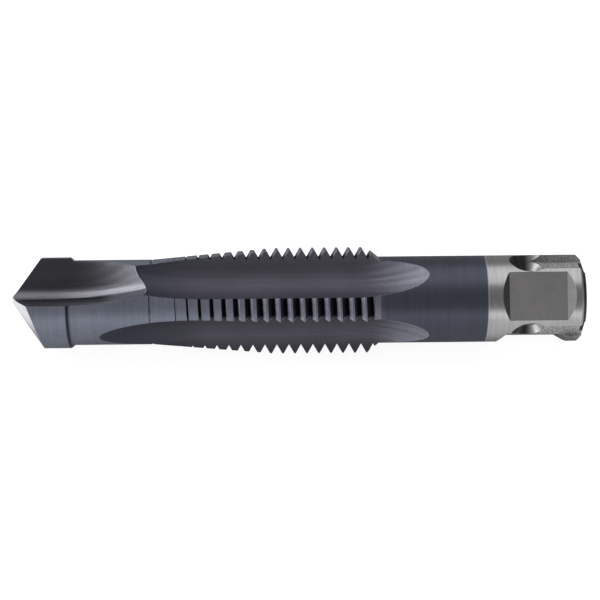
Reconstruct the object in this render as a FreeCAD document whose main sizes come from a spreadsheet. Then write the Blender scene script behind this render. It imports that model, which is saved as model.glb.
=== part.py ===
import FreeCAD, Part
import Sketcher
import math
import os
from FreeCAD import Vector

os.makedirs("parts", exist_ok=True)
doc = FreeCAD.newDocument("drill_tap")

# Driving sizes, millimetres and degrees.
# Stations are distances from the drill point along the tool axis.
# Angles around the axis count from the -Y side towards +Z.
sizes = {
    "overall_length": 118.1,
    "ground_start": 98.1,
    "point_angle": 130.0,
    "cone_offset": 5.6,
    "cone_turn": 49.0,
    "cone_tilt": 11.1,
    "lip_angle": 54.0,
    "drill_diameter": 18.9,
    "drill_end": 12.1,
    "step_length": 0.8,
    "neck_diameter": 17.65,
    "mark_start": 28.85,
    "mark_width": 0.3,
    "mark_depth": 0.12,
    "taper_start": 29.25,
    "taper_end": 54.2,
    "thread_diameter": 22.0,
    "thread_pitch": 2.5,
    "crest_width": 0.3,
    "thread_end": 73.5,
    "thread_end_chamfer": 2.45,
    "groove_phase": 0.315,
    "shank_diameter": 18.0,
    "shank_chamfer": 1.1,
    "tap_flutes": 4,
    "flute_radius": 6.4,
    "flute_floor": 5.7,
    "flute_first_cut": 14.6,
    "flute_deep_from": 41.4,
    "flute_deep_to": 70.0,
    "flute_last_cut": 88.3,
    "front_wheel": 84.0,
    "back_wheel": 40.0,
    "drill_flutes": 2,
    "drill_flute_angle": 55.5,
    "drill_lift_angle": 75.5,
    "drill_wheel": 35.0,
    "drill_flute_straight": 13.0,
    "drill_flute_end": 35.5,
    "web_depth": 2.2,
    "web_height": 0.72,
    "rake_slope": 11.1,
    "heel_slope": 1.5,
    "flute_reach": 13.0,
    "flute_corner_radius": 3.2,
    "flat_distance": 7.5,
    "flat_start": 100.9,
    "flat_end": 115.85,
    "flat_ramp": 1.55,
    "flat_angle": 58.5,
    "second_flat_turn": -90.0,
    "second_flat_start": 100.35,
    "second_flat_end": 115.0,
    "second_flat_ramp": 1.85,
    "keyway_width": 5.8,
    "keyway_floor": 7.0,
    "keyway_angle": 116.5,
    "keyways": 3,
    "dimple_station": 107.0,
    "dimple_diameter": 8.5,
    "dimple_floor": 5.6,
    "dimple_slope": 35.0,
    "centre_hole_diameter": 4.0,
    "centre_hole_depth": 6.0,
    "centre_cone_diameter": 8.0,
}

sheet = doc.addObject("Spreadsheet::Sheet", "sheet")
for row, (name, value) in enumerate(sizes.items(), start=1):
    sheet.set("A%d" % row, name)
    sheet.set("B%d" % row, str(value))
    sheet.setAlias("B%d" % row, name)
doc.recompute()

tool = doc.addObject("PartDesign::Body", "drill_tap")
tool.Label = "drill_tap"
datums = {item.Role: item for item in tool.Origin.OriginFeatures}


def placed_sketch(label, placement):
    """A sketch on the body's XY plane, moved to the placement given as an expression."""
    sketch = tool.newObject("Sketcher::SketchObject", label)
    sketch.Label = label
    sketch.AttachmentSupport = [(datums["XY_Plane"], "")]
    sketch.MapMode = "FlatFace"
    sketch.setExpression("AttachmentOffset", placement)
    return sketch


def polygon(sketch, corners, rough):
    """A closed outline, each corner held by two expressions; rough gives the starting places."""
    count = len(corners)
    for k in range(count):
        start = Vector(rough[k][0], rough[k][1], 0)
        end = Vector(rough[(k + 1) % count][0], rough[(k + 1) % count][1], 0)
        sketch.addGeometry(Part.LineSegment(start, end), False)
    for k in range(count):
        sketch.addConstraint(Sketcher.Constraint("Coincident", k, 2, (k + 1) % count, 1))
    for k, (across, up) in enumerate(corners):
        for kind, text, value in (("DistanceX", across, rough[k][0]), ("DistanceY", up, rough[k][1])):
            place = sketch.addConstraint(Sketcher.Constraint(kind, -1, 1, k, 1, value))
            sketch.setExpression("Constraints[%d]" % place, text)


# Blank: drill diameter, step, neck, taper, thread cylinder, body and shank in one profile.
blank_sketch = placed_sketch(
    "blank_profile",
    "placement(vector(-sheet.ground_start; 0; 0); rotation(vector(1; 0; 0); 0))",
)
drill_r = "sheet.drill_diameter / 2"
neck_r = "sheet.neck_diameter / 2"
thread_r = "sheet.thread_diameter / 2"
shank_r = "sheet.shank_diameter / 2"
blank = [
    ("-1", "0"),
    ("-1", drill_r),
    ("sheet.drill_end", drill_r),
    ("sheet.drill_end + sheet.step_length", neck_r),
    ("sheet.mark_start", neck_r),
    ("sheet.mark_start", neck_r + " - sheet.mark_depth"),
    ("sheet.mark_start + sheet.mark_width", neck_r + " - sheet.mark_depth"),
    ("sheet.taper_start", neck_r),
    ("sheet.taper_end", thread_r),
    ("sheet.thread_end", thread_r),
    ("sheet.thread_end + sheet.thread_end_chamfer", shank_r),
    ("sheet.overall_length - sheet.shank_chamfer", shank_r),
    ("sheet.overall_length", shank_r + " - sheet.shank_chamfer"),
    ("sheet.overall_length", "0"),
]
blank_rough = [
    (-1, 0),
    (-1, 9.45),
    (12.1, 9.45),
    (12.9, 8.83),
    (28.85, 8.83),
    (28.85, 8.7),
    (29.15, 8.7),
    (29.25, 8.83),
    (54.2, 11),
    (73.5, 11),
    (75.95, 9),
    (117, 9),
    (118.1, 7.9),
    (118.1, 0),
]
polygon(blank_sketch, blank, blank_rough)
doc.recompute()
turned_blank = tool.newObject("PartDesign::Revolution", "turned_blank")
turned_blank.Profile = blank_sketch
turned_blank.ReferenceAxis = (blank_sketch, ["H_Axis"])
turned_blank.Angle = 360
doc.recompute()
print("blank volume", round(turned_blank.Shape.Volume, 1))


def section_sketch(label, angle, station):
    """A sketch square to the tool axis at a station, its own Y pointing outwards at the angle."""
    return placed_sketch(
        label,
        "placement(vector(" + station + " - sheet.ground_start; 0; 0);"
        " rotation(vector(1; 0; 0); 90 - (" + angle + ")) * rotation(vector(1; 1; 1); 120))",
    )


def axial_sketch(label, angle, station="0"):
    """A sketch through the tool axis, X along the axis from a station, Y outwards at the angle."""
    return placed_sketch(
        label,
        "placement(vector(" + station + " - sheet.ground_start; 0; 0);"
        " rotation(vector(1; 0; 0); 180 - (" + angle + ")))",
    )


def hold(sketch, kind, where, value, text):
    """One dimension on a sketch, bound to an expression."""
    place = sketch.addConstraint(Sketcher.Constraint(kind, *where, value))
    sketch.setExpression("Constraints[%d]" % place, text)


def lower_end(sketch, edge):
    """Which end of an arc, 1 or 2, lies lower in the sketch."""
    arc = sketch.Geometry[edge]
    return 1 if arc.StartPoint.y < arc.EndPoint.y else 2


def repeated(feature, label, count):
    """The feature repeated evenly around the tool axis."""
    pattern = tool.newObject("PartDesign::PolarPattern", label)
    pattern.Originals = [feature]
    pattern.Axis = (datums["X_Axis"], [""])
    pattern.Angle = 360
    pattern.setExpression("Occurrences", count)
    tool.Tip = pattern
    doc.recompute()
    report(pattern)
    return pattern


def report(feature):
    shape = feature.Shape
    print(feature.Label, feature.State, round(shape.Volume, 1), shape.isValid())


def groove_cut(label, sketch, axis):
    """Turned cut of a sketch about one of its own axes."""
    cut = tool.newObject("PartDesign::Groove", label)
    cut.Profile = sketch
    cut.ReferenceAxis = (sketch, [axis])
    cut.Angle = 360
    doc.recompute()
    report(cut)
    return cut


# Tap flutes: a round-nosed cut runs in, along and out again on long ovals, a hair longer than round.
tap_path = axial_sketch("tap_flute_path", "90")
path_r = "(sheet.flute_floor + sheet.flute_radius)"
tap_path.addGeometry(Part.LineSegment(Vector(41.4, 12.1, 0), Vector(70, 12.1, 0)), False)
tap_path.addConstraint(Sketcher.Constraint("Horizontal", 0))
hold(tap_path, "DistanceX", (-1, 1, 0, 1), 41.4, "sheet.flute_deep_from")
hold(tap_path, "DistanceY", (-1, 1, 0, 1), 12.1, path_r)
hold(tap_path, "DistanceX", (-1, 1, 0, 2), 70, "sheet.flute_deep_to")


def oval_run(line_end, station, wheel, first, last, low_end, far_station):
    """A quarter-oval run-out that leaves the deep line level; its length is a little over its height."""
    start, height, far = station[0], wheel[0], far_station[0]
    oval = Part.Ellipse(Vector(start, 12.1 + height, 0), height * 1.001, height)
    edge = tap_path.addGeometry(Part.ArcOfEllipse(oval, first, last), False)
    tap_path.exposeInternalGeometry(edge)
    tap_path.addConstraint(Sketcher.Constraint("Horizontal", edge + 1))
    tap_path.addConstraint(Sketcher.Constraint("Coincident", edge, low_end, 0, line_end))
    hold(tap_path, "DistanceX", (-1, 1, edge, 3), start, station[1])
    hold(tap_path, "DistanceY", (-1, 1, edge, 3), 12.1 + height, path_r + " + " + wheel[1])
    hold(tap_path, "DistanceX", (edge + 1, 2, edge + 1, 1), 2.002 * height, "2.002 * " + wheel[1])
    hold(tap_path, "DistanceX", (-1, 1, edge, 3 - low_end), far, far_station[1])
    return edge


front_oval = oval_run(
    1,
    (41.4, "sheet.flute_deep_from"),
    (77.6, "(sheet.front_wheel - sheet.flute_radius)"),
    1.5 * math.pi - math.asin(26.8 / 77.6),
    1.5 * math.pi,
    2,
    (14.6, "sheet.flute_first_cut"),
)
back_oval = oval_run(
    2,
    (70.0, "sheet.flute_deep_to"),
    (33.6, "(sheet.back_wheel - sheet.flute_radius)"),
    1.5 * math.pi,
    1.5 * math.pi + math.asin(18.3 / 33.6),
    1,
    (88.3, "sheet.flute_last_cut"),
)
tap_section = section_sketch("tap_flute_section", "90", "sheet.flute_deep_from")
tap_section.addGeometry(Part.Circle(Vector(0, 12.1, 0), Vector(0, 0, 1), 6.4), False)
tap_section.addConstraint(Sketcher.Constraint("PointOnObject", 0, 3, -2))
hold(tap_section, "DistanceY", (-1, 1, 0, 3), 12.1, path_r)
hold(tap_section, "Radius", (0,), 6.4, "sheet.flute_radius")
doc.recompute()
tap_flute = tool.newObject("PartDesign::SubtractivePipe", "tap_flute")
tap_flute.Profile = tap_section
tap_flute.Spine = (tap_path, [])
doc.recompute()
report(tap_flute)
repeated(tap_flute, "all_tap_flutes", "sheet.tap_flutes")

# Drill flutes: rake face, rounded corner and heel face in one section, straight at first, then lifted out.
drill_path = axial_sketch("drill_flute_path", "sheet.drill_lift_angle")
drill_path.addGeometry(Part.LineSegment(Vector(-3, 0, 0), Vector(13, 0, 0)), False)
lift_out = Part.Arc(Vector(13, 0, 0), Vector(24.97, 2.11, 0), Vector(35.5, 8.19, 0))
drill_path.addGeometry(lift_out, False)
drill_path.addConstraint(Sketcher.Constraint("Horizontal", 0))
hold(drill_path, "DistanceX", (-1, 1, 0, 1), -3, "-3")
hold(drill_path, "DistanceY", (-1, 1, 0, 1), 0, "0")
hold(drill_path, "DistanceX", (-1, 1, 0, 2), 13, "sheet.drill_flute_straight")
lift_low = lower_end(drill_path, 1)
drill_path.addConstraint(Sketcher.Constraint("Tangent", 1, lift_low, 0, 2))
hold(drill_path, "Radius", (1,), 35, "sheet.drill_wheel")
hold(drill_path, "DistanceX", (-1, 1, 1, 3 - lift_low), 35.5, "sheet.drill_flute_end")
drill_section = section_sketch("drill_flute_section", "sheet.drill_flute_angle", "-3")
tangent_run = "(sheet.flute_corner_radius / tan((90 + sheet.rake_slope + sheet.heel_slope) / 2))"


def on_rake(run):
    return (
        "sheet.web_height - " + run + " * sin(sheet.rake_slope)",
        "sheet.web_depth + " + run + " * cos(sheet.rake_slope)",
    )


def on_heel(run):
    return (
        "sheet.web_height + " + run + " * cos(sheet.heel_slope)",
        "sheet.web_depth - " + run + " * sin(sheet.heel_slope)",
    )


reach = "sheet.flute_reach"
far_corner = (
    "sheet.web_height + " + reach + " * (cos(sheet.heel_slope) - sin(sheet.rake_slope))",
    "sheet.web_depth + " + reach + " * (cos(sheet.rake_slope) - sin(sheet.heel_slope))",
)
rough_flute = [(0.23, 4.72), (-1.78, 14.96), (11.21, 14.62), (13.72, 1.86), (3.28, 2.13)]
for k in range(4):
    start = Vector(rough_flute[k][0], rough_flute[k][1], 0)
    end = Vector(rough_flute[k + 1][0], rough_flute[k + 1][1], 0)
    drill_section.addGeometry(Part.LineSegment(start, end), False)
corner = Part.Arc(Vector(0.23, 4.72, 0), Vector(1.3, 2.89, 0), Vector(3.28, 2.13, 0))
drill_section.addGeometry(corner, False)
for k in range(3):
    drill_section.addConstraint(Sketcher.Constraint("Coincident", k, 2, k + 1, 1))
corner_heel_end = lower_end(drill_section, 4)
drill_section.addConstraint(Sketcher.Constraint("Coincident", 4, corner_heel_end, 3, 2))
drill_section.addConstraint(Sketcher.Constraint("Coincident", 4, 3 - corner_heel_end, 0, 1))
hold(drill_section, "Radius", (4,), 3.2, "sheet.flute_corner_radius")
held_corners = [(0, 1, on_rake(tangent_run)), (0, 2, on_rake(reach)), (1, 2, far_corner)]
held_corners += [(2, 2, on_heel(reach)), (3, 2, on_heel(tangent_run))]
for k, (edge, end, texts) in enumerate(held_corners):
    hold(drill_section, "DistanceX", (-1, 1, edge, end), rough_flute[k][0], texts[0])
    hold(drill_section, "DistanceY", (-1, 1, edge, end), rough_flute[k][1], texts[1])
doc.recompute()
drill_flute = tool.newObject("PartDesign::SubtractivePipe", "drill_flute")
drill_flute.Profile = drill_section
drill_flute.Spine = (drill_path, [])
doc.recompute()
report(drill_flute)
repeated(drill_flute, "both_drill_flutes", "sheet.drill_flutes")

# Point: each flank is part of a cone set off the tool axis and tilted, so it falls away behind its lip.
half = "(sheet.point_angle / 2)"
tilt = "sheet.cone_tilt"
turn = "(sheet.lip_angle - sheet.cone_turn)"
side = "(sheet.cone_offset * sin(sheet.cone_turn) * sin(" + tilt + "))"
spread = "(cos(" + tilt + ")^2 - cos(" + half + ")^2)"
rest = "(" + side + "^2 - (cos(" + half + ") * sheet.cone_offset)^2)"
root = "sqrt((" + side + " * cos(" + tilt + "))^2 - " + spread + " * " + rest + ")"
apex_back = "((" + side + " * cos(" + tilt + ") + " + root + ") / " + spread + ")"
flank_sketch = placed_sketch(
    "flank_profile",
    "placement(vector(-sheet.ground_start - " + apex_back + ";"
    " sheet.cone_offset * cos(" + turn + "); -sheet.cone_offset * sin(" + turn + "));"
    " rotation(vector(1; 0; 0); 270 - sheet.lip_angle)"
    " * rotation(vector(1; 1; 0); 180) * rotation(vector(0; 0; 1); " + tilt + "))",
)
flank = [
    ("0", "0"),
    ("22", "22 / tan(" + half + ")"),
    ("22", "-6"),
    ("0", "-6"),
]
polygon(flank_sketch, flank, [(0, 0), (22, 13.2), (22, -6), (0, -6)])
doc.recompute()
flank_cut = groove_cut("flank", flank_sketch, "V_Axis")
repeated(flank_cut, "both_flanks", "sheet.drill_flutes")

# Thread: one right-hand V groove whose root stays clear of neck and body, so it has no end faces.
groove_sketch = axial_sketch("thread_profile", "90")
groove_at = "sheet.taper_start - sheet.groove_phase"
half_base = "(sheet.thread_pitch - sheet.crest_width) / 2"
groove = [
    (groove_at, thread_r + " - " + half_base + " / tan(30)"),
    (groove_at + " + " + half_base + " + 0.4 * tan(30)", thread_r + " + 0.4"),
    (groove_at + " - " + half_base + " - 0.4 * tan(30)", thread_r + " + 0.4"),
]
polygon(groove_sketch, groove, [(28.9, 9.1), (30.3, 11.4), (27.6, 11.4)])
doc.recompute()
thread = tool.newObject("PartDesign::SubtractiveHelix", "thread")
thread.Profile = groove_sketch
thread.ReferenceAxis = (datums["X_Axis"], [""])
thread.Mode = 0
thread.setExpression("Pitch", "sheet.thread_pitch")
thread.setExpression(
    "Height",
    "sheet.thread_end + sheet.thread_end_chamfer + sheet.thread_pitch - (" + groove_at + ")",
)
thread.LeftHanded = False
thread.Reversed = False
doc.recompute()
report(thread)


def driving_flat(label, angle, first, last, run):
    """A flat across the shank, from the first to the last station, with a ramp of the given run at each end."""
    sketch = axial_sketch(label + "_profile", angle)
    depth = "(" + shank_r + " - sheet.flat_distance)"
    over = run + " / " + depth
    outline = [
        (first + " - " + over, shank_r + " + 1"),
        (first + " + " + run, "sheet.flat_distance"),
        (last + " - " + run, "sheet.flat_distance"),
        (last + " + " + over, shank_r + " + 1"),
    ]
    polygon(sketch, outline, [(101.7, 10), (104.3, 7.5), (115.9, 7.5), (118.6, 10)])
    doc.recompute()
    cut = tool.newObject("PartDesign::Pocket", label)
    cut.Profile = sketch
    cut.Type = "Length"
    cut.SideType = "Symmetric"
    cut.Length = 24
    doc.recompute()
    report(cut)
    return cut


driving_flat("first_flat", "sheet.flat_angle", "sheet.flat_start", "sheet.flat_end", "sheet.flat_ramp")
driving_flat(
    "second_flat",
    "sheet.flat_angle + sheet.second_flat_turn",
    "sheet.second_flat_start",
    "sheet.second_flat_end",
    "sheet.second_flat_ramp",
)

# Keyways: flat-bottomed slots open at the shank end, each ending in a cone-sided dimple.
keyway_sketch = section_sketch("keyway_section", "sheet.keyway_angle", "sheet.overall_length + 1")
slot = [
    ("-sheet.keyway_width / 2", "sheet.keyway_floor"),
    ("sheet.keyway_width / 2", "sheet.keyway_floor"),
    ("sheet.keyway_width / 2", shank_r + " + 1"),
    ("-sheet.keyway_width / 2", shank_r + " + 1"),
]
polygon(keyway_sketch, slot, [(-2.9, 7), (2.9, 7), (2.9, 10), (-2.9, 10)])
doc.recompute()
keyway = tool.newObject("PartDesign::Pocket", "keyway")
keyway.Profile = keyway_sketch
keyway.Type = "Length"
keyway.setExpression("Length", "sheet.overall_length + 1 - sheet.dimple_station")
doc.recompute()
report(keyway)
repeated(keyway, "all_keyways", "sheet.keyways")
dimple_sketch = axial_sketch("dimple_profile", "sheet.keyway_angle", "sheet.dimple_station")
dimple_r = "sheet.dimple_diameter / 2"
dimple = [
    ("0", "sheet.dimple_floor"),
    (dimple_r + " - (" + shank_r + " - sheet.dimple_floor) * tan(sheet.dimple_slope)", "sheet.dimple_floor"),
    (dimple_r + " + tan(sheet.dimple_slope)", shank_r + " + 1"),
    ("0", shank_r + " + 1"),
]
polygon(dimple_sketch, dimple, [(0, 5.6), (1.6, 5.6), (4.7, 10), (0, 10)])
doc.recompute()
dimple_cut = groove_cut("dimple", dimple_sketch, "V_Axis")
repeated(dimple_cut, "all_dimples", "sheet.keyways")

# Centre hole in the shank end, as left from turning and grinding between centres.
centre_sketch = axial_sketch("centre_hole_profile", "90")
hole_r = "sheet.centre_hole_diameter / 2"
cone_r = "sheet.centre_cone_diameter / 2"
centre = [
    ("sheet.overall_length + 0.5", "0"),
    ("sheet.overall_length + 0.5", cone_r + " + 0.5 * tan(30)"),
    ("sheet.overall_length - (" + cone_r + " - " + hole_r + ") / tan(30)", hole_r),
    ("sheet.overall_length - sheet.centre_hole_depth", hole_r),
    ("sheet.overall_length - sheet.centre_hole_depth - " + hole_r + " / tan(59)", "0"),
]
polygon(centre_sketch, centre, [(120, 0), (120, 4.3), (116, 2), (113.5, 2), (112.3, 0)])
doc.recompute()
centre_cut = groove_cut("centre_hole", centre_sketch, "H_Axis")
tool.Tip = centre_cut
doc.recompute()

for item in doc.Objects:
    if "Invalid" in item.State or "Error" in item.State:
        raise RuntimeError(item.Label + " did not build")
if tool.Shape.isNull() or not tool.Shape.isValid() or len(tool.Shape.Solids) != 1:
    raise RuntimeError("the tool is not one sound solid")
print("faces", len(tool.Shape.Faces), "volume", round(tool.Shape.Volume, 1))
tool.Shape.exportStep("parts/drill_tap.step")
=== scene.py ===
import math
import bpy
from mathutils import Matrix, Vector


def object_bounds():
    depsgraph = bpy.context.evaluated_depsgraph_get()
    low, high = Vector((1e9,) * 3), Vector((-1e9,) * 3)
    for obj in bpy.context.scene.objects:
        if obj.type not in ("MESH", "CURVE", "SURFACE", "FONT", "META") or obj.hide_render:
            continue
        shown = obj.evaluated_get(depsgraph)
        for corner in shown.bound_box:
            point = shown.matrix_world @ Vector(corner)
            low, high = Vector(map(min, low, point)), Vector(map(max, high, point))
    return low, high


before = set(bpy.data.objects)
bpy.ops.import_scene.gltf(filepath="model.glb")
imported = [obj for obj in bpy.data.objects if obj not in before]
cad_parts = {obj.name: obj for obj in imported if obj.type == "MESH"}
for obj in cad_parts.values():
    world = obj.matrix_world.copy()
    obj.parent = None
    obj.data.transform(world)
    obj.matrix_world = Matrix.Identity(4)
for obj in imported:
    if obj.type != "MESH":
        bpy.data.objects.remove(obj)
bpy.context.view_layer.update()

from types import SimpleNamespace
import bpy
from mathutils import Matrix, Vector

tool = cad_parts["drill_tap"]
print("frame loaded")


# Small helpers for node trees. Inputs are given by name or number, as a value or as a socket to link.
def addNode(tree, kind, inputs=None, **settings):
    node = tree.nodes.new(kind)
    for name, value in settings.items():
        setattr(node, name, value)
    for name, value in (inputs or {}).items():
        if isinstance(value, bpy.types.NodeSocket):
            tree.links.new(value, node.inputs[name])
        else:
            node.inputs[name].default_value = value
    return node


def maths(tree, operation, *values):
    return addNode(tree, "ShaderNodeMath", dict(enumerate(values)), operation=operation).outputs[0]


def minus(tree, first, second):
    return maths(tree, "SUBTRACT", first, second)


def inverse(tree, mask):
    return minus(tree, 1.0, mask)


def product(tree, first, *others):
    # masks multiplied into one
    for other in others:
        first = maths(tree, "MULTIPLY", first, other)
    return first


def length(tree, across, up):
    return maths(tree, "SQRT", maths(tree, "ADD", product(tree, across, across), product(tree, up, up)))


def slope(tree, value, low, high, outLow=0.0, outHigh=1.0, bend="LINEAR"):
    # straight line from outLow at low to outHigh at high, level outside
    reach = {"Value": value, "From Min": low, "From Max": high, "To Min": outLow, "To Max": outHigh}
    return addNode(tree, "ShaderNodeMapRange", reach, interpolation_type=bend).outputs[0]


def ramp(tree, value, low, high, outLow=0.0, outHigh=1.0):
    # the same with a smooth step between the two
    return slope(tree, value, low, high, outLow, outHigh, "SMOOTHSTEP")


def eitherSide(tree, value, fade):
    # a fade by distance from zero
    return ramp(tree, maths(tree, "ABSOLUTE", value), *fade)


def between(tree, value, rise, fall):
    # fades in over rise and out over fall
    return product(tree, ramp(tree, value, *rise), ramp(tree, value, *fall))


def leftover(tree, value):
    # what a value has over its nearest whole number, so that a mark repeats round the tool
    return minus(tree, value, maths(tree, "ROUND", value))


def noise(tree, place, scale, detail, roughness=0.5):
    settings = {"Vector": place, "Scale": scale, "Detail": detail, "Roughness": roughness}
    return addNode(tree, "ShaderNodeTexNoise", settings).outputs["Fac"]


def mixColour(tree, mask, first, second):
    return addNode(tree, "ShaderNodeMix", {0: mask, 6: first, 7: second}, data_type="RGBA").outputs[2]


def mixValue(tree, mask, first, second):
    return addNode(tree, "ShaderNodeMix", {0: mask, 2: first, 3: second}, data_type="FLOAT").outputs[0]


def newGroup(name, inputs, outputs):
    group = bpy.data.node_groups.new(name, "ShaderNodeTree")
    for label, kind, value in inputs:
        socket = group.interface.new_socket(label, in_out="INPUT", socket_type="NodeSocket" + kind)
        socket.default_value = value
    for label, kind in outputs:
        group.interface.new_socket(label, in_out="OUTPUT", socket_type="NodeSocket" + kind)
    return group, group.nodes.new("NodeGroupInput").outputs, group.nodes.new("NodeGroupOutput").inputs


def useGroup(tree, group, **inputs):
    node = tree.nodes.new("ShaderNodeGroup")
    node.node_tree = group
    for name, value in inputs.items():
        socket = node.inputs[name]
        if isinstance(value, bpy.types.NodeSocket):
            tree.links.new(value, socket)
        else:
            socket.default_value = value
    return node.outputs


# In all dictionaries of the tool, stations and radii are in millimetres, with stations from the coating's
# edge, and angles in degrees. Facing is the surface direction's part along the tool, from -1 to 1. A pair is
# a fade, 0 at its first value and 1 at its second, and two more values replace the 0 and the 1.

# Place on the tool: distance along it, distance from its axis, and the angle round it, which is 0 towards the
# viewer and 90 at the top.
def buildToolPlace():
    outputs = [("Along", "Float"), ("Radius", "Float"), ("Angle", "Float"), ("Point", "Vector")]
    group, given, result = newGroup("tool place", [], outputs)
    coords = addNode(group, "ShaderNodeTexCoord").outputs["Object"]
    point = addNode(group, "ShaderNodeVectorMath", {0: coords, "Scale": 1000.0}, operation="SCALE").outputs[0]
    x, y, z = addNode(group, "ShaderNodeSeparateXYZ", {0: point}).outputs
    turn = maths(group, "ARCTAN2", z, product(group, y, -1.0))
    group.links.new(x, result["Along"])
    group.links.new(length(group, y, z), result["Radius"])
    group.links.new(product(group, turn, 180 / math.pi), result["Angle"])
    group.links.new(point, result["Point"])
    return group


# Fine parallel scratches left by grinding. Fineness is roughly how many lie in a millimetre, and stretch how
# much longer than wide they are. Lines and streaks are noises: scale, detail and roughness.
grinding = {
    "turned": {"Fineness": 9.0, "Stretch": 40.0},
    "drawn": {"Fineness": 7.0, "Stretch": 45.0},
    "lines": (1.0, 3.0, 0.65),
    "streaks": (0.17, 2.0, 0.5),
}


def buildGrindLines():
    starts = {"Across": 0.0, "Run": 0.0, "Fineness": 8.0, "Stretch": 30.0}
    inputs = [(name, "Float", value) for name, value in starts.items()]
    group, given, result = newGroup("grind lines", inputs, [("Lines", "Float"), ("Streaks", "Float")])
    wide = product(group, given["Across"], given["Fineness"])
    long = maths(group, "DIVIDE", product(group, given["Run"], given["Fineness"]), given["Stretch"])
    place = addNode(group, "ShaderNodeCombineXYZ", {0: wide, 1: long, 2: 0.0}).outputs[0]
    group.links.new(noise(group, place, *grinding["lines"]), result["Lines"])
    group.links.new(noise(group, place, *grinding["streaks"]), result["Streaks"])
    return group


# Turned outline of the tool. Edge is how near a point has to lie to count as on the skin.
outline = {
    "drillRadius": 9.45,
    "drillEnd": -86.0,
    "neckStart": -85.2,
    "neckRadius": 8.825,
    "taperStart": -68.85,
    "taperEnd": -43.9,
    "threadEnd": -24.6,
    "bodyStart": -22.15,
    "threadRadius": 11.0,
    "bodyRadius": 9.0,
    "edge": (0.1, 0.05),
}

# Wheel-cut flutes: their round section, how far out its centre lies, and the wheels that carry it in and out.
fluteCut = {
    "count": 4,
    "radius": 6.4,
    "deep": 12.1,
    "deepFrom": -56.7,
    "deepTo": -28.1,
    "frontWheel": 77.6,
    "backWheel": 33.6,
    "edge": (0.1, 0.05),
}


# Which surface a point lies on. Depth is how far it lies under the turned outline.
def buildSurfaces():
    inputs = [(name, "Float", 0.0) for name in ("Along", "Radius", "Angle")]
    outputs = [(name, "Float") for name in ("Depth", "Skin", "Flute", "Flute Depth")]
    group, given, result = newGroup("tool surfaces", inputs, outputs)
    along, radius = given["Along"], given["Radius"]
    form, cut = outline, fluteCut
    skin = slope(group, along, form["drillEnd"], form["neckStart"], form["drillRadius"], form["neckRadius"])
    taper = form["threadRadius"] - form["neckRadius"]
    chamfer = form["bodyRadius"] - form["threadRadius"]
    rise = slope(group, along, form["taperStart"], form["taperEnd"], 0.0, taper)
    fall = slope(group, along, form["threadEnd"], form["bodyStart"], 0.0, chamfer)
    depth = minus(group, maths(group, "ADD", maths(group, "ADD", skin, rise), fall), radius)
    # folded onto one flute: across and out from the middle line of the nearest
    share = 2 * math.pi / cut["count"]
    turn = product(group, given["Angle"], math.pi / 180)
    whole = maths(group, "ROUND", maths(group, "DIVIDE", turn, share))
    fromFlute = minus(group, turn, product(group, whole, share))
    out = product(group, radius, maths(group, "COSINE", fromFlute))
    side = product(group, radius, maths(group, "SINE", fromFlute))
    off = maths(group, "ABSOLUTE", minus(group, out, cut["deep"]))
    before = maths(group, "MAXIMUM", minus(group, cut["deepFrom"], along), 0.0)
    after = maths(group, "MAXIMUM", minus(group, along, cut["deepTo"]), 0.0)
    for run, wheel in ((before, cut["frontWheel"]), (after, cut["backWheel"])):
        # off the wheel's own round path, where the point lies beyond the deep part
        swing = length(group, run, minus(group, cut["deep"] + wheel, out))
        beyond = maths(group, "GREATER_THAN", run, 0.0)
        off = mixValue(group, beyond, off, maths(group, "ABSOLUTE", minus(group, wheel, swing)))
    gap = minus(group, length(group, off, side), cut["radius"])
    group.links.new(depth, result["Depth"])
    group.links.new(eitherSide(group, depth, form["edge"]), result["Skin"])
    group.links.new(eitherSide(group, gap, cut["edge"]), result["Flute"])
    group.links.new(gap, result["Flute Depth"])
    return group


# Noises over the steel, each a scale and a detail.
noises = {
    "cloud": (0.12, 3.0),
    "fineCloud": (1.3, 4.0),
    "pits": (3.4, 4.0),
    "grit": (3.5, 3.0),
}


# All that the tones below share: the place, the surface and its direction, the scratches and two noises.
def readTool(tree):
    place = useGroup(tree, buildToolPlace())
    along, radius, angle, point = place["Along"], place["Radius"], place["Angle"], place["Point"]
    surface = useGroup(tree, buildSurfaces(), Along=along, Radius=radius, Angle=angle)
    skin, flute = surface["Skin"], surface["Flute"]
    normal = addNode(tree, "ShaderNodeTexCoord").outputs["Normal"]
    facing, sideways, upward = addNode(tree, "ShaderNodeSeparateXYZ", {0: normal}).outputs
    grind = buildGrindLines()
    arc = product(tree, angle, outline["bodyRadius"] * math.pi / 180)
    turned = useGroup(tree, grind, Across=along, Run=arc, **grinding["turned"])
    drawn = useGroup(tree, grind, Across=arc, Run=along, **grinding["drawn"])
    return SimpleNamespace(
        along=along,
        radius=radius,
        angle=angle,
        point=point,
        skin=skin,
        flute=flute,
        depth=surface["Depth"],
        gap=surface["Flute Depth"],
        cut=product(tree, inverse(tree, skin), inverse(tree, flute)),
        facing=facing,
        sideways=sideways,
        upward=upward,
        coated=ramp(tree, along, *coating["edge"]),
        lines=mixValue(tree, skin, drawn["Lines"], turned["Lines"]),
        streaks=mixValue(tree, skin, drawn["Streaks"], turned["Streaks"]),
        fineCloud=noise(tree, point, *noises["fineCloud"]),
        pits=noise(tree, point, *noises["pits"]),
    )


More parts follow.
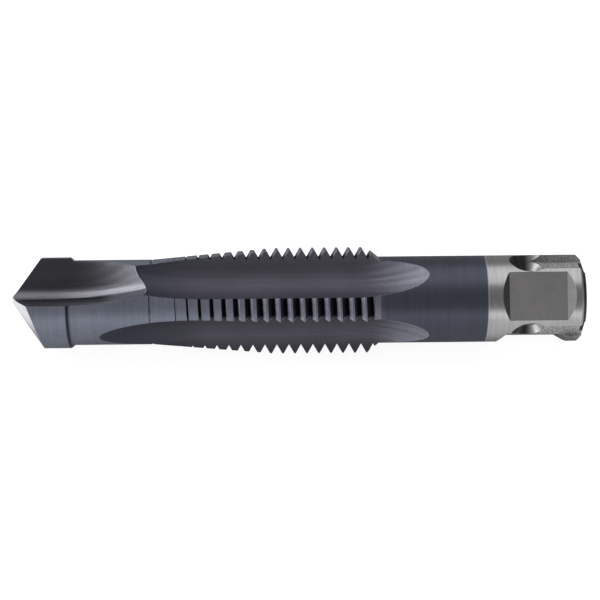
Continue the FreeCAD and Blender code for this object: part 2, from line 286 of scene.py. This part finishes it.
# Coating: its skin is paler from the thread forwards. The flutes darken towards the drill and get a painted
# highlight where they run out.
coating = {
    "edge": (0.06, -0.06),
    "body": (0.082, 0.089, 0.122, 1.0),
    "front": (0.226, 0.245, 0.31, 1.0),
    "frontFade": (-21.0, -24.0),
    "roughness": 0.4,
    "metallic": 0.6,
    "flute": (0.116, 0.112, 0.142, 1.0),
    "fluteStart": (0.055, 0.057, 0.08, 1.0),
    "fluteStartFade": (-52.0, -74.0),
    # fluteEndHighlight is a painted highlight on the run-outs
    "fluteEndHighlight": (0.36, 0.37, 0.45, 1.0),
    "fluteEndFade": (-21.0, -7.0),
    "fluteEndStreaks": 8.0,
    "fluteRoughness": 0.52,
}


def paintCoating(tree, at):
    look = coating
    front = product(tree, at.skin, ramp(tree, at.along, *look["frontFade"]))
    colour = mixColour(tree, front, look["body"], look["front"])
    start = ramp(tree, at.along, *look["fluteStartFade"])
    fluteTone = mixColour(tree, start, look["flute"], look["fluteStart"])
    # painted highlight where the flutes run out, broken by the streaks
    broken = maths(tree, "ADD", at.along, product(tree, at.streaks, look["fluteEndStreaks"]))
    fluteTone = mixColour(tree, ramp(tree, broken, *look["fluteEndFade"]), fluteTone, look["fluteEndHighlight"])
    return mixColour(tree, at.flute, colour, fluteTone)


# The drill's own flutes, or scoops: a lip wall, a painted highlight along the rounded corner and painted
# shade on the heel. A lean is how far the surface leans from the lip wall, the same in both scoops.
scoopCut = {
    "edge": (-67.5, -68.2),
    "floor": (0.078, 0.076, 0.092, 1.0),
    "lipAngle": 55.5,
    "leanShift": (-92.0, -74.0, 0.0, 17.0),
    # the corner colour is a painted highlight, also used on the brow and the far end
    "corner": (0.44, 0.44, 0.5, 1.0),
    "cornerRise": (3.0, 38.0),
    "cornerFall": (64.0, 52.0),
    "cornerGrows": (-92.0, -74.0, 0.3, 1.0),
    "cornerStreaks": (0.2, 0.8, 0.8, 1.15),
    # the heel colours are painted shade
    "heel": (0.02, 0.022, 0.036, 1.0),
    "heelTail": (0.15, 0.16, 0.19, 1.0),
    "heelTailFade": (-80.0, -76.0),
    "heelLean": (50.0, 62.0),
    "browRadius": (7.6, 9.2),
    "browFade": (-86.0, -77.0),
    "browLean": (34.0, 14.0, 0.0, 0.4),
    "farEndFade": (-77.5, -71.0, 0.0, 0.62),
    "farEndLean": (50.0, 30.0),
    "brinkGap": (0.24, 0.1),
    "brinkFade": (-80.0, -76.0),
    "brinkBreaks": (0.35, 0.65, 0.15, 0.6),
    # the brink colour is a painted glint
    "brinkGlint": (0.85, 0.86, 0.95, 1.0),
    "roughness": 0.24,
}


def paintScoop(tree, at, colour):
    look = scoopCut
    scoop = product(tree, at.cut, ramp(tree, at.along, *look["edge"]))
    lean = maths(tree, "ARCTAN2", at.upward, product(tree, at.sideways, -1.0))
    half = maths(tree, "DIVIDE", minus(tree, lean, math.radians(look["lipAngle"])), math.pi)
    lean = product(tree, leftover(tree, half), 180.0)
    lean = maths(tree, "ADD", lean, ramp(tree, at.along, *look["leanShift"]))
    # painted highlight along the rounded corner, stronger towards the far end
    corner = product(
        tree,
        between(tree, lean, look["cornerRise"], look["cornerFall"]),
        ramp(tree, at.along, *look["cornerGrows"]),
        ramp(tree, at.streaks, *look["cornerStreaks"]),
    )
    tone = mixColour(tree, corner, look["floor"], look["corner"])
    # painted shade on the heel, paler towards the far end
    heelTone = mixColour(tree, ramp(tree, at.along, *look["heelTailFade"]), look["heel"], look["heelTail"])
    tone = mixColour(tree, ramp(tree, lean, *look["heelLean"]), tone, heelTone)
    # painted highlights at its top edge and towards its far end, with a broken painted glint where it runs
    # into a flute
    browHighlight = product(
        tree,
        ramp(tree, at.radius, *look["browRadius"]),
        ramp(tree, at.along, *look["browFade"]),
        ramp(tree, lean, *look["browLean"]),
    )
    farEndHighlight = product(tree, ramp(tree, at.along, *look["farEndFade"]), ramp(tree, lean, *look["farEndLean"]))
    tone = mixColour(tree, maths(tree, "MAXIMUM", browHighlight, farEndHighlight), tone, look["corner"])
    brinkGlint = product(
        tree,
        ramp(tree, at.gap, *look["brinkGap"]),
        ramp(tree, at.along, *look["brinkFade"]),
        ramp(tree, at.fineCloud, *look["brinkBreaks"]),
    )
    tone = mixColour(tree, brinkGlint, tone, look["brinkGlint"])
    return mixColour(tree, scoop, colour, tone), scoop


# Thread: painted shade on one flank and at the root, painted light on the other, with a painted glint on one
# edge of each flute.
threadCut = {
    "rise": (-67.0, -66.5),
    "fall": (-21.5, -22.0),
    "shadeFacing": (-0.3, 0.08),
    "shadeRadius": (10.05, 9.55),
    # dark and lit are painted shade and painted light on the two flanks
    "shadedFlank": (0.012, 0.012, 0.018, 1.0),
    "lit": (0.74, 0.74, 0.92, 1.0),
    # back is painted shade on the lands towards the back, and the painted highlight on the last crest
    "backShadeAndCrestLight": (0.34, 0.34, 0.41, 1.0),
    "backAngle": (100.0, 115.0),
    "lastCrestRise": (-23.4, -23.1),
    "lastCrestFall": (-22.0, -22.2),
    # burr is a painted glint on one edge of each flute
    "edgeGlint": (0.85, 0.86, 0.95, 1.0),
    "glintGap": (0.85, 0.4),
    "glintSide": (0.0, 0.1),
    "glintStrength": 0.9,
    "glintShaded": 0.65,
}


def paintThread(tree, at, colour):
    look = threadCut
    inThread = product(tree, at.cut, between(tree, at.along, look["rise"], look["fall"]))
    # painted shade on the flanks facing away and near the root, a painted lit tone on the others
    facingAway = ramp(tree, at.facing, *look["shadeFacing"])
    shadowed = maths(tree, "MAXIMUM", facingAway, ramp(tree, at.radius, *look["shadeRadius"]))
    # the lands towards the back get painted shade
    lit = mixColour(tree, ramp(tree, at.angle, *look["backAngle"]), look["lit"], look["backShadeAndCrestLight"])
    colour = mixColour(tree, inThread, colour, mixColour(tree, shadowed, lit, look["shadedFlank"]))
    # the last crest gets a painted highlight in the same grey
    lastCrest = product(tree, between(tree, at.along, look["lastCrestRise"], look["lastCrestFall"]), at.skin)
    colour = mixColour(tree, lastCrest, colour, look["backShadeAndCrestLight"])
    # a painted glint along one edge of each flute, dimmer where the flank has painted shade
    fluteTurn = product(tree, at.angle, fluteCut["count"] * math.pi / 180)
    oneEdge = ramp(tree, maths(tree, "SINE", fluteTurn), *look["glintSide"])
    atEdge = product(tree, ramp(tree, at.gap, *look["glintGap"]), oneEdge)
    strength = minus(tree, look["glintStrength"], product(tree, shadowed, look["glintShaded"]))
    return mixColour(tree, product(tree, inThread, atEdge, strength), colour, look["edgeGlint"])


# Point and neck: bright flanks, painted shade on the step behind the drill and along a fine turned mark, and
# a faint stain over all.
pointAndNeck = {
    "point": (0.74, 0.74, 0.82, 1.0),
    "pointFacing": (-0.5, -0.6),
    "pointFade": (-89.0, -90.0),
    # the step colour is painted shade, used on the step and on the turned mark
    "step": (0.035, 0.038, 0.062, 1.0),
    "stepRise": (-86.2, -86.0),
    "stepFall": (-85.4, -85.6),
    "markStation": -69.25,
    "markEdge": (0.24, 0.18),
    "markDepth": (0.35, 0.2),
    "stain": (0.09, 0.085, 0.1, 1.0),
    "stainSpread": (0.5, 0.8, 0.0, 0.25),
}


def paintPointAndNeck(tree, at, colour):
    look = pointAndNeck
    forwards = ramp(tree, at.facing, *look["pointFacing"])
    flank = product(tree, forwards, ramp(tree, at.along, *look["pointFade"]))
    colour = mixColour(tree, flank, colour, look["point"])
    # painted shade on the step
    step = product(tree, at.skin, between(tree, at.along, look["stepRise"], look["stepFall"]))
    colour = mixColour(tree, step, colour, look["step"])
    # painted shade along the turned mark
    mark = eitherSide(tree, minus(tree, at.along, look["markStation"]), look["markEdge"])
    mark = product(tree, mark, ramp(tree, at.depth, *look["markDepth"]), at.cut)
    colour = mixColour(tree, mark, colour, look["step"])
    return mixColour(tree, ramp(tree, at.fineCloud, *look["stainSpread"]), colour, look["stain"])


# Bright end: ground skin, two flats, three keyways with dimples, the chamfer, and the milled faces left over.
brightShank = {
    "bright": (0.5, 0.491, 0.496, 1.0),
    "brightRadius": (8.94, 8.98),
    "roughness": 0.3,
    "milled": (0.36, 0.355, 0.36, 1.0),
    "endFacing": (0.9, 0.95),
    "flat": (0.47, 0.455, 0.47, 1.0),
    "flatAngles": (58.5, -31.5),  # the two flats, no fade
    "flatDistance": 7.5,
    "flatEdge": (0.08, 0.04),
    "flatRoughness": 0.42,
    "keyways": 3,
    "keyway": (0.7, 0.7, 0.7, 1.0),
    "keywayPits": (0.36, 0.36, 0.36, 1.0),
    "pitSpread": (0.34, 0.62),
    "keywayAngle": 116.5,
    "keywayFloor": 7.0,
    "keywayWidth": 5.8,
    "keywayReach": (0.5, 0.45),  # in radians
    "floorEdge": (0.12, 0.06),
    "floorRadius": (8.94, 8.9),
    "floorFromDimple": (2.95, 3.05),
    "wallEdge": (0.08, 0.04),
    "wallFade": (10.5, 11.0),
    "wallRadius": (8.96, 8.93),
    "keywayRoughness": 0.6,
    "dimpleStation": 8.9,
    "dimpleEdge": (4.35, 4.25),
    "dimpleFacing": (-0.42, 0.2),
    # painted highlight and painted shade on the dimples' cone sides
    "dimpleHighlight": (0.75, 0.75, 0.75, 1.0),
    "dimpleShade": (0.12, 0.12, 0.12, 1.0),
    # the dark chamfer colour is painted shade, the pale one painted light
    "chamfer": (0.08, 0.08, 0.08, 1.0),
    "chamferFade": (18.86, 18.92),
    "chamferFacing": (0.9, 0.8),
    "chamferPaintedLight": (0.6, 0.6, 0.6, 1.0),
    "chamferOuter": (19.4, 19.2),
    "chamferMiddle": 59.0,
    "chamferUnder": (72.0, 78.0),
}


def overLevel(tree, at, off, distance):
    # height over a level face at a distance from the axis; off is the angle from its middle in radians
    return minus(tree, product(tree, at.radius, maths(tree, "COSINE", off)), distance)


def paintShank(tree, at):
    look = brightShank
    onSkin = ramp(tree, at.radius, *look["brightRadius"])
    colour = mixColour(tree, onSkin, look["milled"], look["bright"])
    flats = 0.0
    for flatAngle in look["flatAngles"]:
        off = product(tree, minus(tree, at.angle, flatAngle), math.pi / 180)
        level = overLevel(tree, at, off, look["flatDistance"])
        flats = maths(tree, "MAXIMUM", flats, eitherSide(tree, level, look["flatEdge"]))
    flats = product(tree, flats, inverse(tree, onSkin))
    colour = mixColour(tree, flats, colour, look["flat"])
    # keyways, folded onto one: the floor up to its dimple, then the two walls
    turn = maths(tree, "DIVIDE", minus(tree, at.angle, look["keywayAngle"]), 360 / look["keyways"])
    off = product(tree, leftover(tree, turn), 2 * math.pi / look["keyways"])
    inKeyway = eitherSide(tree, off, look["keywayReach"])
    sidewise = product(tree, at.radius, maths(tree, "SINE", off))
    fromDimple = length(tree, minus(tree, at.along, look["dimpleStation"]), sidewise)
    floor = product(
        tree,
        eitherSide(tree, overLevel(tree, at, off, look["keywayFloor"]), look["floorEdge"]),
        inKeyway,
        ramp(tree, at.radius, *look["floorRadius"]),
        ramp(tree, fromDimple, *look["floorFromDimple"]),
    )
    fromWall = minus(tree, maths(tree, "ABSOLUTE", sidewise), look["keywayWidth"] / 2)
    wall = product(
        tree,
        eitherSide(tree, fromWall, look["wallEdge"]),
        ramp(tree, at.along, *look["wallFade"]),
        ramp(tree, at.radius, *look["wallRadius"]),
    )
    keyway = maths(tree, "MAXIMUM", floor, wall)
    # the cone sides of the dimples get painted shade on the left and a painted highlight on the right
    elsewhere = inverse(tree, maths(tree, "MAXIMUM", onSkin, flats))
    dimple = product(tree, ramp(tree, fromDimple, *look["dimpleEdge"]), inKeyway, elsewhere)
    leftSide = ramp(tree, at.facing, *look["dimpleFacing"])
    litAndShadedCone = mixColour(tree, leftSide, look["dimpleHighlight"], look["dimpleShade"])
    colour = mixColour(tree, dimple, colour, litAndShadedCone)
    pitted = mixColour(tree, ramp(tree, at.pits, *look["pitSpread"]), look["keywayPits"], look["keyway"])
    colour = mixColour(tree, keyway, colour, pitted)
    # the chamfer gets painted shade, with painted light along its outer edge and on the underside
    onChamfer = ramp(tree, at.along, *look["chamferFade"])
    chamfer = product(tree, onChamfer, ramp(tree, at.facing, *look["chamferFacing"]))
    under = eitherSide(tree, minus(tree, at.angle, look["chamferMiddle"]), look["chamferUnder"])
    chamferLit = maths(tree, "MAXIMUM", ramp(tree, at.along, *look["chamferOuter"]), under)
    colour = mixColour(tree, chamfer, colour, mixColour(tree, chamferLit, look["chamfer"], look["chamferPaintedLight"]))
    colour = mixColour(tree, ramp(tree, at.facing, *look["endFacing"]), colour, look["milled"])
    return colour, flats, keyway


# The whole finish: a painted highlight line where the coating ends, streaked tone and roughness, and grit in
# the keyways.
toolSteel = {
    # the rim is a painted highlight line along the coating's edge
    "rimHighlight": (0.75, 0.76, 0.8, 1.0),
    "rimRise": (-0.3, -0.12),
    "rimFall": (0.16, 0.04),
    "rimStrength": 0.55,
    "streakShade": (0.25, 0.75, 0.92, 1.08),
    "cloudShade": (0.3, 0.7, 0.93, 1.06),
    "lineRoughness": (0.2, 0.8, -0.05, 0.07),
    "scratchDepth": 0.004,
    "scratchStrength": 0.35,
    "gritHeight": 14.0,
}


def buildToolSteel():
    look = toolSteel
    material = bpy.data.materials.new("toolSteel")
    material.use_nodes = True
    tree = material.node_tree
    shader = tree.nodes["Principled BSDF"]
    at = readTool(tree)
    colour = paintCoating(tree, at)
    colour, scoop = paintScoop(tree, at, colour)
    colour = paintThread(tree, at, colour)
    colour = paintPointAndNeck(tree, at, colour)
    steel, flats, keyway = paintShank(tree, at)
    colour = mixColour(tree, at.coated, steel, colour)
    # painted highlight along the coating's edge
    rimHighlight = product(tree, between(tree, at.along, look["rimRise"], look["rimFall"]), look["rimStrength"])
    colour = mixColour(tree, rimHighlight, colour, look["rimHighlight"])

    # the flats are finely spotted, all other faces streaked
    bare = inverse(tree, at.coated)
    spotted = product(tree, flats, bare)
    lines = mixValue(tree, spotted, at.lines, at.pits)
    cloud = noise(tree, at.point, *noises["cloud"])
    shade = ramp(tree, mixValue(tree, spotted, at.streaks, at.pits), *look["streakShade"])
    shade = product(tree, shade, ramp(tree, cloud, *look["cloudShade"]))
    shaded = addNode(tree, "ShaderNodeVectorMath", {0: colour, "Scale": shade}, operation="SCALE").outputs[0]

    coatRough = mixValue(tree, at.flute, coating["roughness"], coating["fluteRoughness"])
    coatRough = mixValue(tree, scoop, coatRough, scoopCut["roughness"])
    steelRough = mixValue(tree, flats, brightShank["roughness"], brightShank["flatRoughness"])
    steelRough = mixValue(tree, keyway, steelRough, brightShank["keywayRoughness"])
    rough = mixValue(tree, at.coated, steelRough, coatRough)
    rough = maths(tree, "ADD", rough, ramp(tree, lines, *look["lineRoughness"]))

    grit = product(tree, noise(tree, at.point, *noises["grit"]), look["gritHeight"])
    height = mixValue(tree, product(tree, keyway, bare), lines, grit)
    relief = {"Strength": look["scratchStrength"], "Distance": look["scratchDepth"] / 1000, "Height": height}
    tree.links.new(shaded, shader.inputs["Base Color"])
    tree.links.new(rough, shader.inputs["Roughness"])
    tree.links.new(addNode(tree, "ShaderNodeBump", relief).outputs[0], shader.inputs["Normal"])
    tree.links.new(mixValue(tree, at.coated, 1.0, coating["metallic"]), shader.inputs["Metallic"])
    return material


tool.data.materials.clear()
tool.data.materials.append(buildToolSteel())
print("tool finish built")


# Camera: places in millimetres from the coating's edge, angles in degrees, lens and sensor in millimetres,
# the nearest and farthest that it sees in metres.
camera = {
    "lens": 97.05,
    "sensor": 36.0,
    "nearest": 0.01,
    "farthest": 50.0,
    "elevation": 55.5,
    "distance": 337.0,
    "foot": -41.33,
    "yaw": -0.496,
    "roll": 0.577,
    "pitch": 0.0145,
}


def buildCamera():
    tilt = math.radians(camera["elevation"])
    yaw, roll, pitch = (math.radians(camera[name]) for name in ("yaw", "roll", "pitch"))
    outward = Vector((0, -math.cos(tilt), math.sin(tilt)))
    along = Vector((1, 0, 0))
    ahead = -outward * math.cos(yaw) - along * math.sin(yaw)
    right = along * math.cos(yaw) - outward * math.sin(yaw)
    up = right.cross(ahead)
    rightRolled = right * math.cos(roll) - up * math.sin(roll)
    upRolled = right * math.sin(roll) + up * math.cos(roll)
    aheadPitched = ahead * math.cos(pitch) + upRolled * math.sin(pitch)
    upPitched = upRolled * math.cos(pitch) - ahead * math.sin(pitch)
    data = bpy.data.cameras.new("photoCamera")
    data.lens = camera["lens"]
    data.sensor_width = camera["sensor"]
    data.clip_start = camera["nearest"]
    data.clip_end = camera["farthest"]
    item = bpy.data.objects.new("photoCamera", data)
    bpy.context.scene.collection.objects.link(item)
    turn = Matrix((rightRolled, upPitched, -aheadPitched)).transposed().to_4x4()
    place = Vector((camera["foot"] / 1000, 0, 0)) + outward * camera["distance"] / 1000
    item.matrix_world = Matrix.Translation(place) @ turn
    bpy.context.scene.camera = item


buildCamera()
print("camera set")

# Studio: a white floor, soft boxes behind and in front, a pale card on the left and a dark one on the right.
# Sizes are in metres, the boxes' from and to are elevations in degrees as seen from the tool.
studio = {
    "floorSize": 30.0,
    "floorColour": (0.42, 0.42, 0.42, 1.0),
    "floorRoughness": 0.9,
    "floorSpecular": 0.1,
    "floorGlow": 0.9,
    "floorMirror": 0.45,
    "frontLit": (0.0, -0.02),
    "leftLit": (-0.096, -0.102),
    "leftMirror": 1.8,
    "white": (1.0, 1.0, 1.0, 1.0),
    "cardFade": (-0.75, -0.35),
    "card": 0.75,
    "room": 0.22,
    "darkSide": (0.35, 0.6, 1.0, 0.15),
    "boxes": {
        "backBox": {"from": 93.0, "to": 149.0, "reach": 0.7, "length": 2.4, "glow": 0.81},
        "frontBox": {"from": 1.0, "to": 21.5, "reach": 0.7, "length": 2.4, "glow": 0.98},
    },
}


def buildFloor():
    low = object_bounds()[0].z
    half = studio["floorSize"] / 2
    corners = [(-half, -half, low), (half, -half, low), (half, half, low), (-half, half, low)]
    mesh = bpy.data.meshes.new("floor")
    mesh.from_pydata(corners, [], [(0, 1, 2, 3)])
    floor = bpy.data.objects.new("floor", mesh)
    bpy.context.scene.collection.objects.link(floor)
    material = bpy.data.materials.new("floorPaper")
    material.use_nodes = True
    tree = material.node_tree
    shader = tree.nodes["Principled BSDF"]
    shader.inputs["Base Color"].default_value = studio["floorColour"]
    shader.inputs["Roughness"].default_value = studio["floorRoughness"]
    shader.inputs["Specular IOR Level"].default_value = studio["floorSpecular"]
    shader.inputs["Emission Color"].default_value = studio["white"]
    rays = addNode(tree, "ShaderNodeLightPath").outputs
    # the paper is lit up in front and at the left, as seen in the steel
    place = addNode(tree, "ShaderNodeTexCoord").outputs["Object"]
    x, y, z = addNode(tree, "ShaderNodeSeparateXYZ", {0: place}).outputs
    left = product(tree, ramp(tree, x, *studio["leftLit"]), studio["leftMirror"])
    lit = maths(tree, "MAXIMUM", ramp(tree, y, *studio["frontLit"]), left)
    mirrored = product(tree, rays["Is Glossy Ray"], lit, studio["floorMirror"])
    glow = maths(tree, "ADD", product(tree, rays["Is Camera Ray"], studio["floorGlow"]), mirrored)
    tree.links.new(glow, shader.inputs["Emission Strength"])
    mesh.materials.append(material)


def softBox(name, box):
    # an area lamp across the given elevations, its glow is the brightness seen in a mirror
    middle = math.radians((box["from"] + box["to"]) / 2)
    width = 2 * box["reach"] * math.tan(math.radians((box["to"] - box["from"]) / 2))
    data = bpy.data.lights.new(name, "AREA")
    data.shape = "RECTANGLE"
    data.size = box["length"]
    data.size_y = width
    data.energy = box["glow"] * math.pi * box["length"] * width
    lamp = bpy.data.objects.new(name, data)
    bpy.context.scene.collection.objects.link(lamp)
    outward = Vector((0, -math.cos(middle), math.sin(middle)))
    sideways = Vector((1, 0, 0))
    turn = Matrix((sideways, outward.cross(sideways), outward)).transposed().to_4x4()
    lamp.matrix_world = Matrix.Translation(outward * box["reach"]) @ turn
    lamp.visible_camera = False


def buildWorld():
    world = bpy.data.worlds.new("studioRoom")
    world.use_nodes = True
    bpy.context.scene.world = world
    tree = world.node_tree
    shader = tree.nodes["Background"]
    direction = addNode(tree, "ShaderNodeTexCoord").outputs["Generated"]
    x = addNode(tree, "ShaderNodeSeparateXYZ", {0: direction}).outputs[0]
    glow = ramp(tree, x, *studio["cardFade"], studio["card"], studio["room"])
    glow = product(tree, glow, ramp(tree, x, *studio["darkSide"]))
    tree.links.new(glow, shader.inputs["Strength"])
    shader.inputs["Color"].default_value = studio["white"]


buildFloor()
for boxName, boxValues in studio["boxes"].items():
    softBox(boxName, boxValues)
buildWorld()
bpy.context.scene.view_settings.view_transform = "Standard"
print("studio lit")
